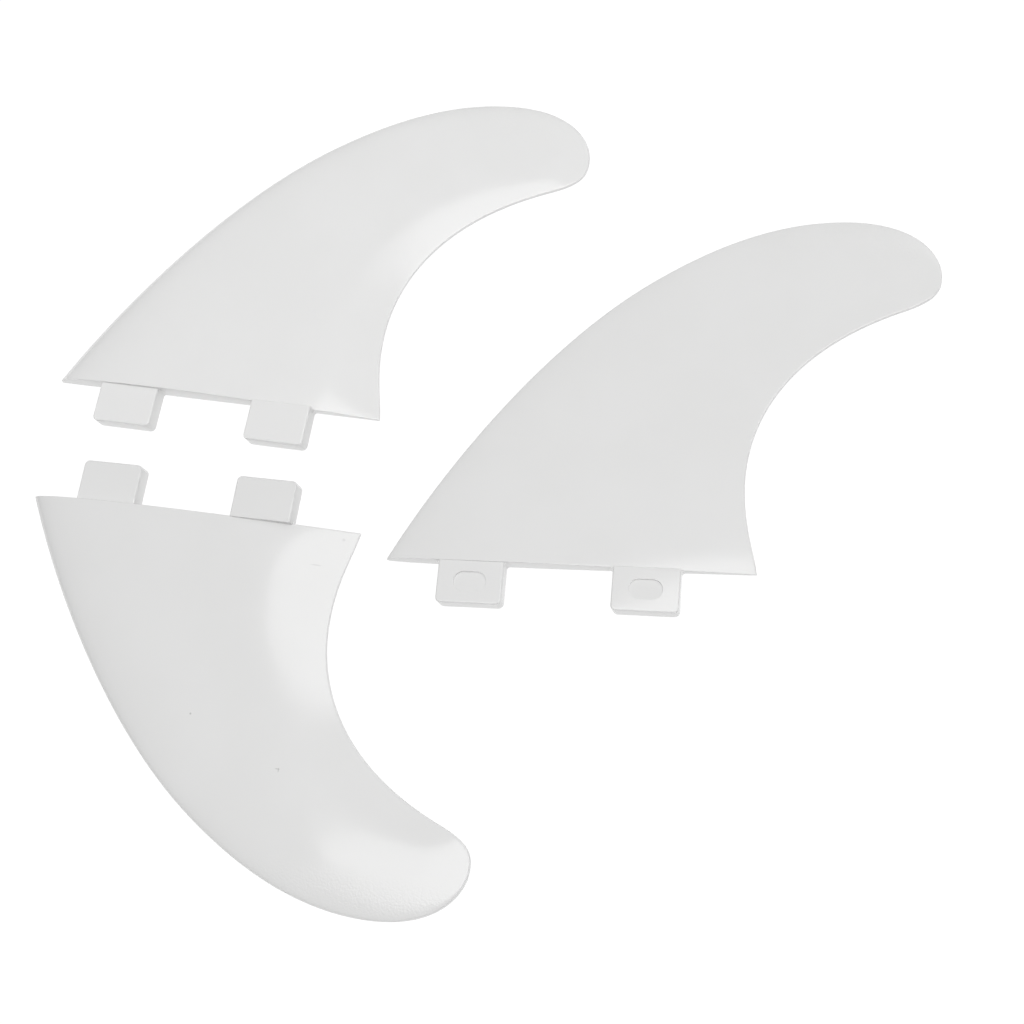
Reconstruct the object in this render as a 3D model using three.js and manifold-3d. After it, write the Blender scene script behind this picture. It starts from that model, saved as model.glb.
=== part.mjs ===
// A thruster set of three surfboard fins, lying loose on a flat surface, in millimetres with +Z up.
// The centre fin has a symmetric foil. The left and right fins mirror each other: the inside face
// is flat and the outside face is foiled.
// Every fin is one solid moulding: a swept blade with two box tabs that plug into the board.
// A fin's own frame has x from the leading corner back along the base, y towards the tip and z
// through the thickness.

import * as THREE from 'three';
import { mergeVertices } from 'three/addons/utils/BufferGeometryUtils.js';
import Module from 'manifold-3d';

const wasm = await Module();
wasm.setup();

// Blade outline, as cubic curves: start, two handles, end
const BASE_LENGTH = 117.6;
const DEPTH = 119.6;
const REACH = 171.5;
const TIP_END = [REACH, 100.5];
const LEADING_EDGE = [
  [[0, 0], [14.2, 28.5], [43.9, 73.7], [79.3, 97.6]],
  [[79.3, 97.6], [98.1, 110.3], [118.7, DEPTH], [140.5, DEPTH]],
  [[140.5, DEPTH], [164.8, DEPTH], [REACH, 107.1], TIP_END],
];
const TRAILING_EDGE = [
  [[BASE_LENGTH, 0], [116.6, 7.1], [112.7, 15.5], [112.7, 29.3]],
  [[112.7, 29.3], [112.7, 49.4], [123.3, 74.1], [160.1, 88.4]],
  [[160.1, 88.4], [170.7, 92.5], [REACH, 96.1], TIP_END],
];

// Blade section: full thickness at the base, thinning with the chord towards the tip
const CENTRE_THICKNESS = 7.2;
const SIDE_THICKNESS = 7.9;
const LEADING_THICKNESS = 1.4;
const TRAILING_THICKNESS = 1.1;
const EDGE_ROUND = 0.4;

// Tabs, which hang from the base face, the plane y = 0
const TAB_STARTS = [17.9, 73.5];
const TAB_WIDTH = 21.2;
const TAB_DEPTH = 13.8;
const TAB_THICKNESS = 6.3;
const TAB_CORNER = 1.8;
const TAB_BEVEL = 0.6;
const TAB_OVERLAP = 0.3;
const ROOT_FILLET = 1.2;
const SIDE_TAB_FLOOR = 0.3;

// Screw seat: a stadium-shaped ramp in one face of each tab, deepest on the blade side
const SEAT_LENGTH = 10.5;
const SEAT_WIDTH = 6.3;
const SEAT_CENTRE = 6.6;
const SEAT_DEPTH = 0.45;
const SEAT_RAMP = THREE.MathUtils.degToRad(5);

// Mesh fineness
const BLADE_ROWS = 24;
const BLADE_COLUMNS = 14;

function edgePath(segments) {
  const path = new THREE.CurvePath();
  for (const points of segments) {
    path.add(new THREE.CubicBezierCurve(...points.map(([x, y]) => new THREE.Vector2(x, y))));
  }
  return path;
}

const leadingEdge = edgePath(LEADING_EDGE);
const trailingEdge = edgePath(TRAILING_EDGE);

// Thickness form of a classic foil: round nose, fullest at 30 % of the chord, thin tail
function foil(s) {
  const form = 0.2969 * Math.sqrt(s) - 0.126 * s - 0.3516 * s ** 2 + 0.2843 * s ** 3 - 0.1036 * s ** 4;
  return 10 * form;
}

// Blade thickness at fraction s of a chord of the given length
function thicknessAt(s, chord, fullThickness) {
  const size = chord / BASE_LENGTH;
  const tail = THREE.MathUtils.lerp(LEADING_THICKNESS, TRAILING_THICKNESS, Math.sqrt(size));
  const edge = THREE.MathUtils.lerp(LEADING_THICKNESS, tail, s);
  return edge + (fullThickness - LEADING_THICKNESS) * size * foil(s);
}

// One section of the blade, from leading to trailing edge: the upper line and the lower line
function section(q, fin) {
  const lead = leadingEdge.getPoint(q);
  const trail = trailingEdge.getPoint(q);
  const chord = lead.distanceTo(trail);
  const inset = Math.min(EDGE_ROUND, chord / 4);
  const stops = [];
  for (let i = 0; i <= BLADE_COLUMNS; i++) {
    stops.push(inset + (chord - 2 * inset) * (1 - Math.cos((Math.PI * i) / BLADE_COLUMNS)) / 2);
  }
  stops.unshift(0);
  stops.push(chord);
  const upper = [];
  const lower = [];
  stops.forEach((distance, i) => {
    const s = chord > 0 ? distance / chord : 0;
    const point = lead.clone().lerp(trail, s);
    const thickness = thicknessAt(s, chord, fin.thickness);
    const isEnd = i === 0 || i === stops.length - 1;
    const corner = isEnd ? inset : 0;
    const top = (fin.symmetric ? thickness / 2 : thickness) - corner;
    const bottom = (fin.symmetric ? -thickness / 2 : 0) + corner;
    upper.push([point.x, point.y, top]);
    lower.push([point.x, point.y, bottom]);
  });
  return { upper, lower };
}

// The blade: sections swept from the base to the tip, closed by the base face
function bladeGeometry(fin) {
  const rows = [];
  for (let i = 0; i <= BLADE_ROWS; i++) {
    rows.push(section(Math.sin((Math.PI / 2) * (i / BLADE_ROWS)), fin));
  }
  const positions = [];
  const quad = (a, b, c, d) => positions.push(...a, ...b, ...c, ...a, ...c, ...d);
  const last = rows[0].upper.length - 1;
  for (let i = 0; i < BLADE_ROWS; i++) {
    const { upper: u0, lower: l0 } = rows[i];
    const { upper: u1, lower: l1 } = rows[i + 1];
    for (let j = 0; j < last; j++) {
      quad(u0[j], u0[j + 1], u1[j + 1], u1[j]);
      quad(l0[j + 1], l0[j], l1[j], l1[j + 1]);
    }
    quad(l0[0], u0[0], u1[0], l1[0]);
    quad(u0[last], l0[last], l1[last], u1[last]);
  }
  const { upper, lower } = rows[0];
  for (let j = 0; j < last; j++) {
    quad(lower[j], lower[j + 1], upper[j + 1], upper[j]);
  }
  const geometry = new THREE.BufferGeometry();
  geometry.setAttribute('position', new THREE.Float32BufferAttribute(positions, 3));
  return geometry;
}

// A closed geometry as a solid, and a solid back as a geometry
function toSolid(geometry) {
  const bare = geometry.clone();
  bare.deleteAttribute('normal');
  bare.deleteAttribute('uv');
  const merged = mergeVertices(bare, 1e-4);
  const triangles = [];
  for (let i = 0; i < merged.index.count; i += 3) {
    const [a, b, c] = [0, 1, 2].map((k) => merged.index.getX(i + k));
    if (a !== b && b !== c && c !== a) triangles.push(a, b, c);
  }
  return new wasm.Manifold(new wasm.Mesh({
    numProp: 3,
    vertProperties: new Float32Array(merged.attributes.position.array),
    triVerts: new Uint32Array(triangles),
  }));
}

function toGeometry(solid) {
  const mesh = solid.getMesh();
  const geometry = new THREE.BufferGeometry();
  geometry.setAttribute('position', new THREE.BufferAttribute(mesh.vertProperties, 3));
  geometry.setIndex(new THREE.BufferAttribute(mesh.triVerts, 1));
  return geometry;
}

// A box tab with round lower corners and bevelled edges, cut square where it meets the base
function tabGeometry(start, floor) {
  const end = start + TAB_WIDTH;
  const top = TAB_BEVEL + TAB_OVERLAP;
  const shape = new THREE.Shape();
  shape.moveTo(start, top);
  shape.lineTo(start, TAB_CORNER - TAB_DEPTH);
  shape.absarc(start + TAB_CORNER, TAB_CORNER - TAB_DEPTH, TAB_CORNER, Math.PI, 1.5 * Math.PI, false);
  shape.absarc(end - TAB_CORNER, TAB_CORNER - TAB_DEPTH, TAB_CORNER, 1.5 * Math.PI, 2 * Math.PI, false);
  shape.lineTo(end, top);
  const geometry = new THREE.ExtrudeGeometry(shape, {
    depth: TAB_THICKNESS - 2 * TAB_BEVEL,
    bevelThickness: TAB_BEVEL,
    bevelSize: TAB_BEVEL,
    bevelOffset: -TAB_BEVEL,
    bevelSegments: 2,
    curveSegments: 5,
  });
  geometry.translate(0, 0, floor + TAB_BEVEL);
  return geometry;
}

// The part of a tab's blank above the base face, which is trimmed off
function rootTrimGeometry(start, floor) {
  const reach = 2 * TAB_BEVEL;
  const geometry = new THREE.BoxGeometry(TAB_WIDTH + reach, reach, 2 * TAB_THICKNESS);
  geometry.translate(start + TAB_WIDTH / 2, TAB_OVERLAP + reach / 2, floor + TAB_THICKNESS / 2);
  return geometry;
}

// A concave fillet between the side of a tab and the base face; side is -1 in front, 1 behind
function filletGeometry(cornerX, side, low, high) {
  const shape = new THREE.Shape();
  shape.moveTo(-TAB_OVERLAP, TAB_OVERLAP);
  shape.lineTo(-TAB_OVERLAP, -ROOT_FILLET);
  shape.lineTo(0, -ROOT_FILLET);
  shape.absarc(ROOT_FILLET, -ROOT_FILLET, ROOT_FILLET, Math.PI, Math.PI / 2, true);
  shape.lineTo(ROOT_FILLET, TAB_OVERLAP);
  const geometry = new THREE.ExtrudeGeometry(shape, {
    depth: high - low,
    bevelEnabled: false,
    curveSegments: 4,
  });
  if (side < 0) geometry.rotateY(Math.PI).translate(0, 0, high - low);
  geometry.translate(cornerX, 0, low);
  return geometry;
}

// The cutter for a screw seat in the face at height faceZ; up is 1 for the upper face, -1 below
function seatGeometry(centreX, faceZ, up) {
  const radius = SEAT_WIDTH / 2;
  const run = SEAT_LENGTH / 2 - radius;
  const shape = new THREE.Shape();
  shape.absarc(run, 0, radius, -Math.PI / 2, Math.PI / 2, false);
  shape.absarc(-run, 0, radius, Math.PI / 2, 1.5 * Math.PI, false);
  const geometry = new THREE.ExtrudeGeometry(shape, {
    depth: 3 * SEAT_DEPTH,
    bevelEnabled: false,
    curveSegments: 10,
  });
  geometry.rotateX(-SEAT_RAMP);
  geometry.translate(0, 0, -SEAT_DEPTH);
  if (up < 0) geometry.rotateY(Math.PI);
  geometry.translate(centreX, -SEAT_CENTRE, faceZ);
  return geometry;
}

// The whole fin: blade, both tabs, their fillets and their screw seats
function finGeometry(fin) {
  const floor = fin.symmetric ? -TAB_THICKNESS / 2 : SIDE_TAB_FLOOR;
  let solid = toSolid(bladeGeometry(fin));
  for (const start of TAB_STARTS) {
    const blank = toSolid(tabGeometry(start, floor));
    solid = solid.add(blank.subtract(toSolid(rootTrimGeometry(start, floor))));
    for (const [corner, side] of [[start, -1], [start + TAB_WIDTH, 1]]) {
      const reach = corner + side * ROOT_FILLET;
      const bladeThere = thicknessAt(reach / BASE_LENGTH, BASE_LENGTH, fin.thickness) - 2 * EDGE_ROUND;
      const height = Math.min(bladeThere, TAB_THICKNESS - 2 * TAB_BEVEL);
      const low = fin.symmetric ? -height / 2 : floor + TAB_BEVEL;
      const high = fin.symmetric ? height / 2 : height;
      solid = solid.add(toSolid(filletGeometry(corner, side, low, high)));
    }
    const up = fin.symmetric ? 1 : -1;
    const face = fin.symmetric ? TAB_THICKNESS / 2 : floor;
    solid = solid.subtract(toSolid(seatGeometry(start + TAB_WIDTH / 2, face, up)));
  }
  return toGeometry(solid);
}

// The mirror image across the plane y = 0, with its triangles turned to face out again
function mirrored(geometry) {
  const image = geometry.clone().scale(1, -1, 1);
  const index = image.index;
  for (let i = 0; i < index.count; i += 3) {
    const second = index.getX(i + 1);
    index.setX(i + 1, index.getX(i + 2));
    index.setX(i + 2, second);
  }
  return image;
}

const WHITE_PLASTIC = { color: 0xf1f1ef, roughness: 0.28, metalness: 0 };

// A fin laid on the surface: turned to its heading, tipped onto its resting side and set down
function layDown(name, geometry, rest) {
  const mesh = new THREE.Mesh(geometry, new THREE.MeshStandardMaterial(WHITE_PLASTIC));
  mesh.name = name;
  mesh.rotation.set(rest.roll, rest.pitch, rest.heading, 'ZYX');
  mesh.position.set(rest.x, rest.y, 0);
  mesh.updateMatrixWorld();
  mesh.position.z = -new THREE.Box3().setFromObject(mesh, true).min.z;
  return mesh;
}

const degrees = THREE.MathUtils.degToRad;
const RESTS = {
  centre_fin: { x: -21.8, y: -26.7, heading: 0, roll: degrees(-0.62), pitch: degrees(0.37) },
  right_fin: { x: -147.6, y: 33.3, heading: degrees(-5.7), roll: 0, pitch: 0 },
  left_fin: { x: -149.7, y: -9.2, heading: degrees(-4.1), roll: 0, pitch: 0 },
};

const centreGeometry = finGeometry({ symmetric: true, thickness: CENTRE_THICKNESS });
const sideGeometry = finGeometry({ symmetric: false, thickness: SIDE_THICKNESS });

const finSet = new THREE.Group();
finSet.add(layDown('centre_fin', centreGeometry, RESTS.centre_fin));
finSet.add(layDown('right_fin', sideGeometry, RESTS.right_fin));
finSet.add(layDown('left_fin', mirrored(sideGeometry), RESTS.left_fin));

export default finSet;
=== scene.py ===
"""The thruster set of a shortboard: three loose surfboard fins in glossy white plastic.

Each CAD node is replaced by one finer moulding of the same size: a foiled blade with rounded
edges, fused with two box tabs that have round corners and a ramped screw seat.
Lengths are in metres. A fin's own frame has x from the leading corner back along the base, y
towards the tip and z through the thickness.
"""
import math

import bmesh
import bpy
import numpy as np
from mathutils import Matrix, Vector


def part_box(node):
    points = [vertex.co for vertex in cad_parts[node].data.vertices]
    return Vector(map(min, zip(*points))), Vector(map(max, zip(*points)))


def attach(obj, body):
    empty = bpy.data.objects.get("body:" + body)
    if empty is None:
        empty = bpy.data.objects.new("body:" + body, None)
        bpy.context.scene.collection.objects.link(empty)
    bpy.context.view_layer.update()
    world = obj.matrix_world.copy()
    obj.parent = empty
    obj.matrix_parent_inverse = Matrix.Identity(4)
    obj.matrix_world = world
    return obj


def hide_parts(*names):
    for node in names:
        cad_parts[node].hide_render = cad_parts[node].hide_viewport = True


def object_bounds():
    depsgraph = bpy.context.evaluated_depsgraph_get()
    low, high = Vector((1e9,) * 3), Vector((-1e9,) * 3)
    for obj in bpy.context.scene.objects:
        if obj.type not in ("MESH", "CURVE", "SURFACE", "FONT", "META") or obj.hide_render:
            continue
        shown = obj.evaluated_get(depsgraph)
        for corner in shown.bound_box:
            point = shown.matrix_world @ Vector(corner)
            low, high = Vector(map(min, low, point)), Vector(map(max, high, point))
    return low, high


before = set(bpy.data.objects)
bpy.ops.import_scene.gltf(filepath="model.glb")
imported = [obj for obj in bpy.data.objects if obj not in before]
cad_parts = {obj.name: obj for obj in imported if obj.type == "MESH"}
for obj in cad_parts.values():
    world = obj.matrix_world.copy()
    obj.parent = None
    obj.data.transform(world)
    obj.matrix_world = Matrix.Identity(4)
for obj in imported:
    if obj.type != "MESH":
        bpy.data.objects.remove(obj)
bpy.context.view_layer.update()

# Blade outline, as cubic curves: start, two handles, end
BASE_LENGTH = 0.1176
DEPTH = 0.1196
REACH = 0.1715
TIP_END = (REACH, 0.1005)
LEADING_EDGE = (
    ((0, 0), (0.0142, 0.0285), (0.0439, 0.0737), (0.0793, 0.0976)),
    ((0.0793, 0.0976), (0.0981, 0.1103), (0.1187, DEPTH), (0.1405, DEPTH)),
    ((0.1405, DEPTH), (0.1648, DEPTH), (REACH, 0.1071), TIP_END),
)
TRAILING_EDGE = (
    ((BASE_LENGTH, 0), (0.1166, 0.0071), (0.1127, 0.0155), (0.1127, 0.0293)),
    ((0.1127, 0.0293), (0.1127, 0.0494), (0.1233, 0.0741), (0.1601, 0.0884)),
    ((0.1601, 0.0884), (0.1707, 0.0925), (REACH, 0.0961), TIP_END),
)

# Blade section
LEADING_THICKNESS = 0.0014
TRAILING_THICKNESS = 0.0011
EDGE_ROUND = 0.0005
BASE_ROUND = 0.00025

# Tabs, which hang from the base face, the plane y = 0
TAB_STARTS = (0.0179, 0.0735)
TAB_WIDTH = 0.0212
TAB_DEPTH = 0.0138
TAB_THICKNESS = 0.0063
TAB_CORNER = 0.0018
TAB_BEVEL = 0.0006
TAB_OVERLAP = 0.0003
TAB_ROOT_ROUND = 0.0002
TAB_NECK = 0.001  # below the base, where the tab's straight part is given a ring
ROOT_FILLET = 0.0012
SIDE_TAB_FLOOR = 0.0003

# Screw seat: a stadium-shaped ramp in one face of each tab, deepest on the blade side
SEAT_LENGTH = 0.0105
SEAT_WIDTH = 0.0063
SEAT_CENTRE = 0.0066
SEAT_DEPTH = 0.00045
SEAT_RAMP = math.radians(5)
SEAT_RIM = 0.00012

# Mesh fineness
BLADE_ROWS = 120
BLADE_COLUMNS = 56
EDGE_STEPS = 6
CORNER_STEPS = 6
FILLET_STEPS = 8
TAB_ROOT_STEPS = 3
TAB_CORNER_STEPS = 12
SEAT_END_STEPS = 24
SEAT_RIM_STEPS = 3
PATH_SAMPLES = 400
FIRST_ROW = 0.0035  # fraction of the way to the tip, just past the rounded base
STATION_DIGITS = 7

# Width of the finely stepped strip along each edge, and the largest share of the thickness that
# the rounding takes off one side
EDGE_BAND = 1.25 * EDGE_ROUND
LARGEST_DROP = 0.45

# Points closer than the first are one point, and edges shorter than the second are dropped
WELD_DISTANCE = 1e-7
SLIVER_LENGTH = 1e-8
SHARP_ANGLE = math.radians(38)

# Each fin's section and how it lies on the surface
FINS = {
    "centre_fin": dict(body="centre", symmetric=True, mirrored=False, thickness=0.0072,
                       heading=0, pitch=math.radians(0.37), roll=math.radians(-0.62)),
    "right_fin": dict(body="right", symmetric=False, mirrored=False, thickness=0.0079,
                      heading=math.radians(-5.7), pitch=0, roll=0),
    "left_fin": dict(body="left", symmetric=False, mirrored=True, thickness=0.0079,
                     heading=math.radians(-4.1), pitch=0, roll=0),
}


def edge_points(segments, fractions):
    """Points at the given fractions of the length of a chain of cubic curves."""
    t = np.linspace(0, 1, PATH_SAMPLES)[:, None]
    pieces = []
    for start, first, second, end in np.array(segments, float):
        curve = start * (1 - t) ** 3 + 3 * first * t * (1 - t) ** 2
        curve += 3 * second * t ** 2 * (1 - t) + end * t ** 3
        pieces.append(curve)
    points = np.concatenate(pieces)
    steps = np.linalg.norm(np.diff(points, axis=0), axis=1)
    travelled = np.concatenate([[0], np.cumsum(steps)])
    travelled /= travelled[-1]
    return np.stack([np.interp(fractions, travelled, points[:, k]) for k in (0, 1)], axis=1)


def foil(s):
    """Thickness form of a classic foil: round nose, fullest at 30 % of the chord, thin tail."""
    return 10 * (0.2969 * np.sqrt(s) - 0.126 * s - 0.3516 * s ** 2 + 0.2843 * s ** 3 - 0.1036 * s ** 4)


def thickness_at(s, chord, full_thickness):
    """Blade thickness at fraction s of a chord."""
    size = chord / BASE_LENGTH
    tail = LEADING_THICKNESS + (TRAILING_THICKNESS - LEADING_THICKNESS) * np.sqrt(size)
    edge = LEADING_THICKNESS + (tail - LEADING_THICKNESS) * s
    return edge + (full_thickness - LEADING_THICKNESS) * size * foil(s)


def rounding(distance, radius):
    """How far a surface drops at a distance from its edge, where a quarter circle rounds the edge."""
    inside = np.clip(1 - distance / radius, 0, 1)
    return radius * (1 - np.sqrt(1 - inside ** 2))


def distance_to_outline(points):
    """Distance of each point from the blade's curved outline."""
    fractions = np.linspace(0, 1, PATH_SAMPLES * 2)
    nearest = np.full(points.shape[:-1], np.inf)
    for segments in (LEADING_EDGE, TRAILING_EDGE):
        outline = edge_points(segments, fractions)
        for start, end in zip(outline[:-1], outline[1:]):
            along = end - start
            reach = np.clip((points - start) @ along / (along @ along), 0, 1)
            offset = points - start - reach[..., None] * along
            nearest = np.minimum(nearest, np.linalg.norm(offset, axis=-1))
    return nearest


def arc_stops(radius, steps):
    """Distances from an edge that step evenly round a quarter circle, from 0 to its radius."""
    return radius * (1 - np.cos(np.linspace(0, math.pi / 2, steps + 1)))


def mesh_object(name, vertices, faces):
    """A new object with the given points and faces, put in the scene."""
    mesh = bpy.data.meshes.new(name)
    mesh.from_pydata([tuple(v) for v in vertices], [], [tuple(int(i) for i in f) for f in faces])
    mesh.validate()
    thing = bpy.data.objects.new(name, mesh)
    bpy.context.scene.collection.objects.link(thing)
    return thing


def blade_object(fin):
    """The blade: sections swept from the base to the tip, with all its edges rounded."""
    sweep = np.sin(np.linspace(0, math.pi / 2, BLADE_ROWS + 1))
    rows = np.concatenate([arc_stops(BASE_ROUND, EDGE_STEPS)[:-1] / DEPTH, [FIRST_ROW], sweep[1:]])
    lead = edge_points(LEADING_EDGE, rows)
    trail = edge_points(TRAILING_EDGE, rows)
    chord = np.linalg.norm(trail - lead, axis=1)[:, None]
    near = np.minimum(EDGE_BAND, chord / 4)
    stops = near * arc_stops(1, EDGE_STEPS)[:-1]
    spread = (1 - np.cos(np.linspace(0, math.pi, BLADE_COLUMNS + 1))) / 2
    middle = near + (chord - 2 * near) * spread
    distance = np.concatenate([stops, middle, chord - stops[:, ::-1]], axis=1)
    s = np.divide(distance, chord, out=np.zeros_like(distance), where=chord > 0)
    points = lead[:, None] + (trail - lead)[:, None] * s[..., None]
    drop = rounding(distance_to_outline(points), EDGE_ROUND) + rounding(points[..., 1], BASE_ROUND)
    thickness = thickness_at(s, chord, fin["thickness"])
    bottom = -thickness / 2 if fin["symmetric"] else np.zeros_like(thickness)
    drop = np.minimum(drop, LARGEST_DROP * thickness)
    upper = np.dstack([points, bottom + thickness - drop])
    lower = np.dstack([points, bottom + drop])
    ring = np.concatenate([upper, lower[:, ::-1]], axis=1)
    count, width = ring.shape[:2]
    faces = []
    for i in range(count - 1):
        for j in range(width):
            after = (j + 1) % width
            faces.append((i * width + j, i * width + after, (i + 1) * width + after, (i + 1) * width + j))
    half = width // 2
    for j in range(half - 1):
        faces.append((width - 1 - j, width - 2 - j, j + 1, j))
    thing = mesh_object("blade", ring.reshape(-1, 3), faces)
    weld(thing)
    return thing


def weld(thing):
    """Joins points that meet and turns all faces outwards."""
    work = bmesh.new()
    work.from_mesh(thing.data)
    bmesh.ops.remove_doubles(work, verts=work.verts, dist=WELD_DISTANCE)
    bmesh.ops.dissolve_degenerate(work, edges=work.edges, dist=SLIVER_LENGTH)
    bmesh.ops.recalc_face_normals(work, faces=work.faces)
    work.to_mesh(thing.data)
    work.free()


def lofted_object(name, rings):
    """A closed solid through rings of equal length, closed by a flat face at each end."""
    width = len(rings[0])
    faces = [tuple(range(width)), tuple((len(rings) - 1) * width + j for j in reversed(range(width)))]
    for i in range(len(rings) - 1):
        for j in range(width):
            after = (j + 1) % width
            faces.append((i * width + after, i * width + j, (i + 1) * width + j, (i + 1) * width + after))
    thing = mesh_object(name, np.concatenate(rings), faces)
    weld(thing)
    return thing


def rounded_rectangle(half_width, half_height, radius):
    """Points round a rectangle with round corners, in the x, z plane."""
    points = []
    for corner, (side, level) in enumerate(((1, 1), (-1, 1), (-1, -1), (1, -1))):
        for step in range(CORNER_STEPS + 1):
            angle = math.pi / 2 * (corner + step / CORNER_STEPS)
            x = side * (half_width - radius) + radius * math.cos(angle)
            z = level * (half_height - radius) + radius * math.sin(angle)
            points.append((x, z))
    return np.array(points)


def tab_object(start, floor):
    """A box tab, lofted from its root inside the blade to its end."""
    stations = [TAB_OVERLAP - stop for stop in arc_stops(TAB_ROOT_ROUND, TAB_ROOT_STEPS)]
    stations += [-TAB_NECK]
    stations += [stop - TAB_DEPTH for stop in arc_stops(TAB_CORNER, TAB_CORNER_STEPS)[::-1]]
    stations += [stop - TAB_DEPTH for stop in arc_stops(TAB_BEVEL, CORNER_STEPS)[-2::-1]]
    rings = []
    for y in sorted(set(round(station, STATION_DIGITS) for station in stations), reverse=True):
        from_root = TAB_OVERLAP - y
        from_end = y + TAB_DEPTH
        root_drop = float(rounding(from_root, TAB_ROOT_ROUND))
        half_width = TAB_WIDTH / 2 - root_drop - float(rounding(from_end, TAB_CORNER))
        half_height = TAB_THICKNESS / 2 - root_drop - float(rounding(from_end, TAB_BEVEL))
        section = rounded_rectangle(half_width, half_height, TAB_BEVEL)
        centre = (start + TAB_WIDTH / 2, floor + TAB_THICKNESS / 2)
        rings.append(np.array([(x + centre[0], y, z + centre[1]) for x, z in section]))
    return lofted_object("tab", rings)


def fillet_object(corner_x, side, low, high):
    """A concave fillet between the side of a tab and the base face; side is -1 in front, 1 behind."""
    outline = [(-TAB_OVERLAP, TAB_OVERLAP), (-TAB_OVERLAP, -ROOT_FILLET)]
    for angle in np.linspace(math.pi, math.pi / 2, FILLET_STEPS + 1):
        x = ROOT_FILLET + ROOT_FILLET * math.cos(angle)
        y = -ROOT_FILLET + ROOT_FILLET * math.sin(angle)
        outline.append((x, y))
    outline += [(ROOT_FILLET, TAB_OVERLAP)]
    rings = []
    for z in (low, high):
        rings.append(np.array([(corner_x + side * x, y, z) for x, y in outline]))
    return lofted_object("fillet", rings)


def seat_object(centre_x, face, up):
    """The cutter for a screw seat in the face at that height; its rim flares to round the edge."""
    run = (SEAT_LENGTH - SEAT_WIDTH) / 2
    angles = np.linspace(-math.pi / 2, math.pi / 2, SEAT_END_STEPS + 1)
    ends = [(run, a) for a in angles] + [(-run, a + math.pi) for a in angles]
    levels = [-SEAT_RIM * math.cos(a) for a in np.linspace(0, math.pi / 2, SEAT_RIM_STEPS + 1)]
    rings = []
    for level in [None] + levels + [2 * SEAT_DEPTH]:
        ring = []
        for shift, angle in ends:
            ramp = -SEAT_DEPTH - SEAT_WIDTH / 2 * math.sin(angle) * math.tan(SEAT_RAMP)
            z = ramp if level is None else max(ramp, level)
            flare = SEAT_RIM - math.sqrt(SEAT_RIM ** 2 - min(max(z + SEAT_RIM, 0), SEAT_RIM) ** 2)
            radius = SEAT_WIDTH / 2 + flare
            x = shift + radius * math.cos(angle)
            ring.append((centre_x + x, radius * math.sin(angle) - SEAT_CENTRE, face + up * z))
        rings.append(np.array(ring))
    return lofted_object("seat", rings)


def combine(thing, tool, operation):
    """Joins a tool to a solid, or cuts it away, and removes the tool."""
    modifier = thing.modifiers.new("combine", "BOOLEAN")
    modifier.operation = operation
    modifier.solver = "MANIFOLD"
    modifier.object = tool
    graph = bpy.context.evaluated_depsgraph_get()
    result = bpy.data.meshes.new_from_object(thing.evaluated_get(graph))
    thing.modifiers.clear()
    thing.data = result
    bpy.data.objects.remove(tool)


def moulding(name, fin):
    """One whole fin: blade, tabs, fillets and screw seats in a single closed mesh."""
    floor = -TAB_THICKNESS / 2 if fin["symmetric"] else SIDE_TAB_FLOOR
    up = 1 if fin["symmetric"] else -1
    face = floor + TAB_THICKNESS if fin["symmetric"] else floor
    thing = blade_object(fin)
    for start in TAB_STARTS:
        tab = tab_object(start, floor)
        for corner, side in ((start, -1), (start + TAB_WIDTH, 1)):
            reach = (corner + side * ROOT_FILLET) / BASE_LENGTH
            blade_there = float(thickness_at(reach, BASE_LENGTH, fin["thickness"])) - 2 * BASE_ROUND
            height = min(blade_there, TAB_THICKNESS - 2 * TAB_BEVEL)
            low = -height / 2 if fin["symmetric"] else floor + TAB_BEVEL
            high = height / 2 if fin["symmetric"] else height
            combine(tab, fillet_object(corner, side, low, high), "UNION")
        combine(tab, seat_object(start + TAB_WIDTH / 2, face, up), "DIFFERENCE")
        combine(thing, tab, "UNION")
    thing.name = name + "_moulding"
    thing.data.name = thing.name
    remember_places(thing)
    if fin["mirrored"]:
        thing.data.transform(Matrix.Scale(-1, 4, (0, 1, 0)))
        thing.data.flip_normals()
    lay_down(thing, name, fin)
    finish_shading(thing)
    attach(thing, fin["body"])
    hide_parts(name)
    return thing


def remember_places(thing):
    """Keeps each point's place in the fin's own frame for the material."""
    co = np.empty(len(thing.data.vertices) * 3, np.float32)
    thing.data.vertices.foreach_get("co", co)
    place = thing.data.attributes.new("fin_place", "FLOAT_VECTOR", "POINT")
    place.data.foreach_set("vector", co)


def lay_down(thing, name, fin):
    """Turns a fin to how it lies and sets it where its CAD node is."""
    turn = Matrix.Rotation(fin["heading"], 4, "Z")
    turn = turn @ Matrix.Rotation(fin["pitch"], 4, "Y") @ Matrix.Rotation(fin["roll"], 4, "X")
    thing.data.transform(turn)
    corners = np.array([v.co for v in thing.data.vertices])
    low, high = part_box(name)
    shift = (low + high) / 2 - Vector((corners.min(0) + corners.max(0)) / 2)
    shift.z = low.z - corners[:, 2].min()
    thing.data.transform(Matrix.Translation(shift))


def finish_shading(thing):
    """Smooth shading, with sharp edges kept where faces meet at a steep angle."""
    for polygon in thing.data.polygons:
        polygon.use_smooth = True
    thing.data.set_sharp_from_angle(angle=SHARP_ANGLE)
    weighted = thing.modifiers.new("even shading", "WEIGHTED_NORMAL")
    weighted.keep_sharp = True


# Camera: a three-quarter view from above, with all its angles in radians
CAMERA_PLACE = Vector((0.1133, -0.1378, 0.4551))
CAMERA_AZIMUTH = 0.6396
CAMERA_TILT = math.radians(19.53)
CAMERA_ROLL = math.radians(-33.10)
LENS = 52.685


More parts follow.
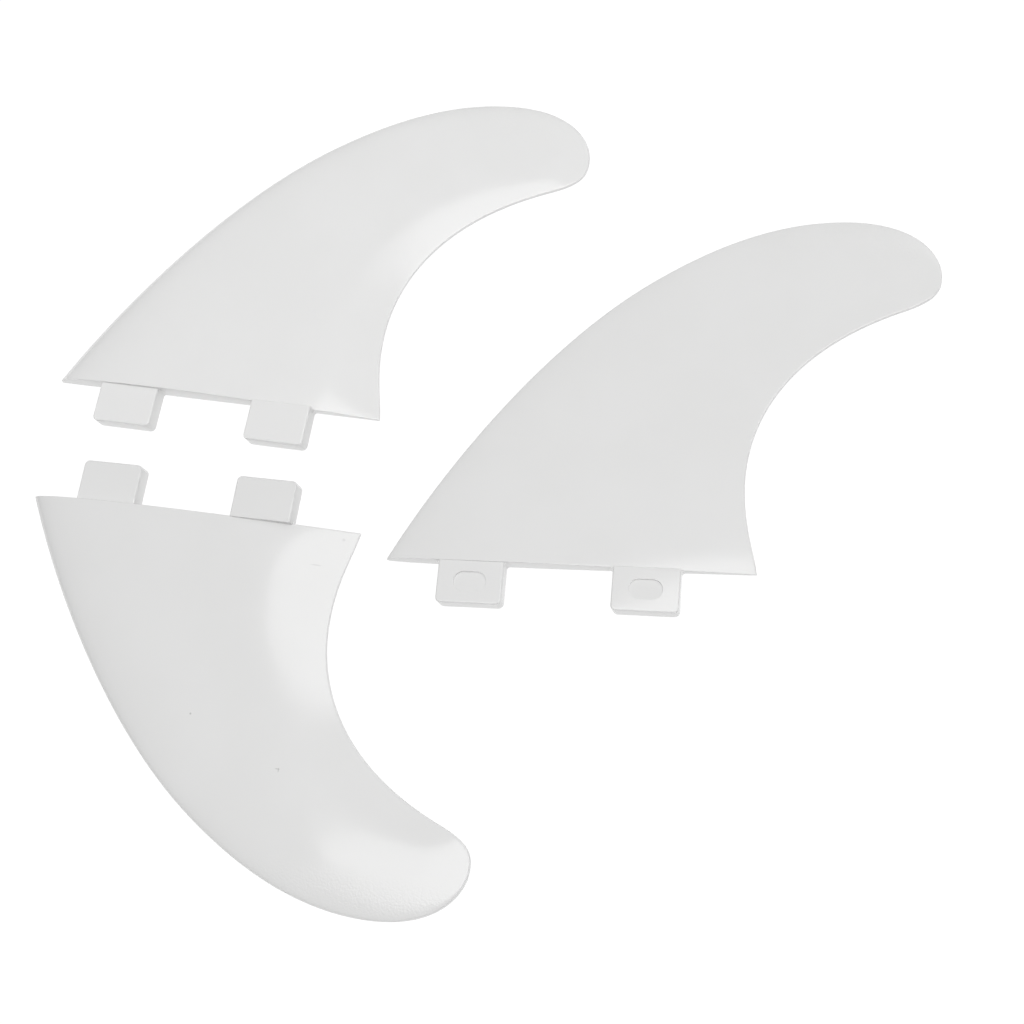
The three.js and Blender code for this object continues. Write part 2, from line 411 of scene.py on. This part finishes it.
def add_camera():
    """The camera, turned about the vertical, then tilted, then rolled about its own axis."""
    data = bpy.data.cameras.new("camera")
    data.lens = LENS
    camera = bpy.data.objects.new("camera", data)
    turn = Matrix.Rotation(CAMERA_AZIMUTH, 4, "Z") @ Matrix.Rotation(CAMERA_TILT, 4, "X")
    camera.matrix_world = Matrix.Translation(CAMERA_PLACE) @ turn @ Matrix.Rotation(CAMERA_ROLL, 4, "Z")
    bpy.context.scene.collection.objects.link(camera)
    bpy.context.scene.camera = camera


def shader(material):
    """A material's principled shader."""
    return next(n for n in material.node_tree.nodes if n.type == "BSDF_PRINCIPLED")


class Graph:
    """Short calls for building a material's node tree."""

    def __init__(self, material):
        material.use_nodes = True
        self.nodes = material.node_tree.nodes
        self.links = material.node_tree.links
        self.surface = shader(material)

    def put(self, socket, value):
        """Sets a socket to a number or colour, or links it to another node's output."""
        if isinstance(value, bpy.types.NodeSocket):
            self.links.new(value, socket)
        else:
            socket.default_value = value

    def noise(self, vector, scale, detail, seed):
        node = self.nodes.new("ShaderNodeTexNoise")
        node.noise_dimensions = "4D"
        self.put(node.inputs["Vector"], vector)
        self.put(node.inputs["W"], seed)
        self.put(node.inputs["Scale"], scale)
        self.put(node.inputs["Detail"], detail)
        return node.outputs["Fac"]

    def math(self, operation, first, second):
        node = self.nodes.new("ShaderNodeMath")
        node.operation = operation
        self.put(node.inputs[0], first)
        self.put(node.inputs[1], second)
        return node.outputs[0]

    def stretch(self, value, low, high, to_low=0.0, to_high=1.0):
        """The value's range from low to high, spread smoothly over another range."""
        node = self.nodes.new("ShaderNodeMapRange")
        node.interpolation_type = "SMOOTHSTEP"
        self.put(node.inputs["Value"], value)
        limits = (("From Min", low), ("From Max", high), ("To Min", to_low), ("To Max", to_high))
        for name, number in limits:
            self.put(node.inputs[name], number)
        return node.outputs["Result"]

    def vector(self, operation, first, second):
        node = self.nodes.new("ShaderNodeVectorMath")
        node.operation = operation
        self.put(node.inputs[0], first)
        self.put(node.inputs[1], second)
        return node.outputs["Value"] if operation == "LENGTH" else node.outputs["Vector"]

    def mix(self, share, first, second):
        node = self.nodes.new("ShaderNodeMix")
        node.data_type = "RGBA"
        self.put(node.inputs[0], share)
        self.put(node.inputs[6], first)
        self.put(node.inputs[7], second)
        return node.outputs[2]

    def bump(self, height, distance, normal=None):
        node = self.nodes.new("ShaderNodeBump")
        self.put(node.inputs["Height"], height)
        self.put(node.inputs["Distance"], distance)
        if normal is not None:
            self.put(node.inputs["Normal"], normal)
        return node.outputs["Normal"]


# White plastic, with lengths in metres and noise scales per metre
PLASTIC_COLOUR = (0.815, 0.815, 0.812, 1)
PLASTIC_SHADE = (0.803, 0.803, 0.799, 1)
MARK_COLOUR = (0.3, 0.3, 0.3, 1)
MOTTLE_SCALE = 35
MOTTLE_RANGE = (0.35, 0.65)
PLASTIC_ROUGHNESS = 0.065
TIP_ROUGHNESS = 0.16
SMUDGE_SCALE = 60
SMUDGE_RANGE = (0.4, 0.7)
SMUDGE_ROUGHNESS = 0.015
WAVE_SCALE = 90
WAVE_HEIGHT = 0.000004
PEEL_SCALE = 500
PEEL_HEIGHT = 0.0000006
GRAIN_SCALE = 1400
GRAIN_HEIGHT = 0.0000002
TIP_GRAIN_HEIGHT = 0.00009
TIP_GRAIN_START = 0.1
TIP_GRAIN_FULL = 0.115
SEED_STEP = 10.0

# Small marks on the left fin: place along and up the blade, half sizes, strength
LEFT_MARKS = (
    (0.0741, 0.0659, 0.0004, 0.0004, 0.5),
    (0.1060, 0.0790, 0.0010, 0.00025, 0.35),
    (0.1064, 0.0793, 0.00025, 0.0009, 0.35),
    (0.1125, 0.0030, 0.0007, 0.0006, 0.18),
    (0.1050, 0.0125, 0.0022, 0.0003, 0.18),
)
MARK_FADE = (0.4, 1.1)  # where a mark starts to fade and where it ends, in half sizes


def white_plastic(name, marks, seed):
    """Glossy moulded plastic: faint mottling, slow waves, orange peel, and grain towards the tip."""
    material = bpy.data.materials.new(name)
    graph = Graph(material)
    place = graph.nodes.new("ShaderNodeAttribute")
    place.attribute_name = "fin_place"
    place = place.outputs["Vector"]
    split = graph.nodes.new("ShaderNodeSeparateXYZ")
    graph.put(split.inputs[0], place)

    mottle = graph.stretch(graph.noise(place, MOTTLE_SCALE, 3, seed), *MOTTLE_RANGE)
    colour = graph.mix(mottle, PLASTIC_COLOUR, PLASTIC_SHADE)
    for x, y, half_length, half_width, strength in marks:
        offset = graph.vector("SUBTRACT", place, (x, y, 0))
        shape = graph.vector("MULTIPLY", offset, (1 / half_length, 1 / half_width, 0))
        inside = graph.stretch(graph.vector("LENGTH", shape, (0, 0, 0)), *MARK_FADE, strength, 0)
        colour = graph.mix(inside, colour, MARK_COLOUR)
    graph.put(graph.surface.inputs["Base Color"], colour)

    towards_tip = graph.stretch(split.outputs["Y"], TIP_GRAIN_START, TIP_GRAIN_FULL)
    roughness = graph.stretch(towards_tip, 0, 1, PLASTIC_ROUGHNESS, TIP_ROUGHNESS)
    cloud = graph.noise(place, SMUDGE_SCALE, 4, seed + 1)
    smudge = graph.stretch(cloud, *SMUDGE_RANGE, 0, SMUDGE_ROUGHNESS)
    graph.put(graph.surface.inputs["Roughness"], graph.math("ADD", roughness, smudge))

    normal = graph.bump(graph.noise(place, WAVE_SCALE, 1, seed + 2), WAVE_HEIGHT)
    normal = graph.bump(graph.noise(place, PEEL_SCALE, 2, seed + 3), PEEL_HEIGHT, normal)
    grain = graph.stretch(towards_tip, 0, 1, GRAIN_HEIGHT, TIP_GRAIN_HEIGHT)
    grain_height = graph.math("MULTIPLY", graph.noise(place, GRAIN_SCALE, 2, seed + 4), grain)
    graph.put(graph.surface.inputs["Normal"], graph.bump(grain_height, 1.0, normal))
    return material


# Floor: a large square just below the fins, which glows so that it stays white
WHITE = (1, 1, 1, 1)
FLOOR_REACH = 4
FLOOR_GAP = 0.0001
FLOOR_COLOUR = (0.1, 0.1, 0.1, 1)
FLOOR_ROUGHNESS = 0.9
FLOOR_GLOW = 0.94


def add_floor():
    """The plain pale surface that the fins lie on."""
    sides = ((-1, -1), (1, -1), (1, 1), (-1, 1))
    corners = [(x * FLOOR_REACH, y * FLOOR_REACH, 0) for x, y in sides]
    floor = mesh_object("floor", corners, [(0, 1, 2, 3)])
    material = bpy.data.materials.new("pale_floor")
    material.use_nodes = True
    surface = shader(material)
    surface.inputs["Base Color"].default_value = FLOOR_COLOUR
    surface.inputs["Roughness"].default_value = FLOOR_ROUGHNESS
    surface.inputs["Emission Color"].default_value = WHITE
    surface.inputs["Emission Strength"].default_value = FLOOR_GLOW
    floor.data.materials.append(material)
    floor.location.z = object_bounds()[0].z - FLOOR_GAP


# Lights: where each stands, the point it faces, its size, its brightness and its turn
SOFTBOXES = {
    "overhead": dict(place=(0.41, -0.10, 2.0), target=(0.41, -0.10, 0), width=1.99, height=1.43,
                     radiance=2.8, turn=math.radians(6), oval=True),
    "key": dict(place=(0.9, 1.1, 1.4), target=(0, 0, 0), width=0.9, height=0.9, radiance=0.8),
    "reflector": dict(place=(-0.09, 0.232, 1.0), target=(-0.09, 0.232, 0), width=0.33, height=0.24,
                      radiance=2.5, turn=math.radians(-31)),
}


def softbox(name, place, target, width, height, radiance, turn=0, oval=False):
    """A studio light aimed at a point, which looks as bright as its radiance from anywhere."""
    data = bpy.data.lights.new(name, "AREA")
    data.shape = "ELLIPSE" if oval else "RECTANGLE"
    data.size = width
    data.size_y = height
    area = width * height * (math.pi / 4 if oval else 1)
    data.energy = radiance * math.pi * area
    light = bpy.data.objects.new(name, data)
    aim = (Vector(target) - Vector(place)).to_track_quat("-Z", "Y").to_matrix().to_4x4()
    light.matrix_world = Matrix.Translation(place) @ aim @ Matrix.Rotation(turn, 4, "Z")
    bpy.context.scene.collection.objects.link(light)
    return light


def add_lights(right_fin):
    """An oval softbox overhead, a key light behind, and a reflector for the right fin only."""
    lights = {name: softbox(name, **box) for name, box in SOFTBOXES.items()}
    lit = bpy.data.collections.new("lit_by_reflector")
    lit.objects.link(right_fin)
    lights["reflector"].light_linking.receiver_collection = lit


# World light: dark near the horizon, pale overhead
HORIZON_LIGHT = 0.0
ZENITH_LIGHT = 0.735


def add_world():
    """A dim room as the fins see it, in front of a plain white background."""
    world = bpy.data.worlds.new("studio")
    world.use_nodes = True
    nodes, links = world.node_tree.nodes, world.node_tree.links
    background = next(n for n in nodes if n.type == "BACKGROUND")
    background.inputs["Color"].default_value = WHITE
    direction = nodes.new("ShaderNodeTexCoord")
    split = nodes.new("ShaderNodeSeparateXYZ")
    ramp = nodes.new("ShaderNodeMapRange")
    ramp.inputs["To Min"].default_value = HORIZON_LIGHT
    ramp.inputs["To Max"].default_value = ZENITH_LIGHT
    path = nodes.new("ShaderNodeLightPath")
    brighter = nodes.new("ShaderNodeMath")
    brighter.operation = "MAXIMUM"
    links.new(direction.outputs["Generated"], split.inputs[0])
    links.new(split.outputs["Z"], ramp.inputs["Value"])
    links.new(ramp.outputs["Result"], brighter.inputs[0])
    links.new(path.outputs["Is Camera Ray"], brighter.inputs[1])
    links.new(brighter.outputs[0], background.inputs["Strength"])
    bpy.context.scene.world = world


pieces = {name: moulding(name, fin) for name, fin in FINS.items()}
for seed, (name, piece) in enumerate(pieces.items()):
    marks = LEFT_MARKS if name == "left_fin" else ()
    piece.data.materials.clear()
    piece.data.materials.append(white_plastic(name + "_plastic", marks, SEED_STEP * seed))
add_camera()
add_lights(pieces["right_fin"])
add_world()
add_floor()
bpy.context.scene.view_settings.view_transform = "Standard"
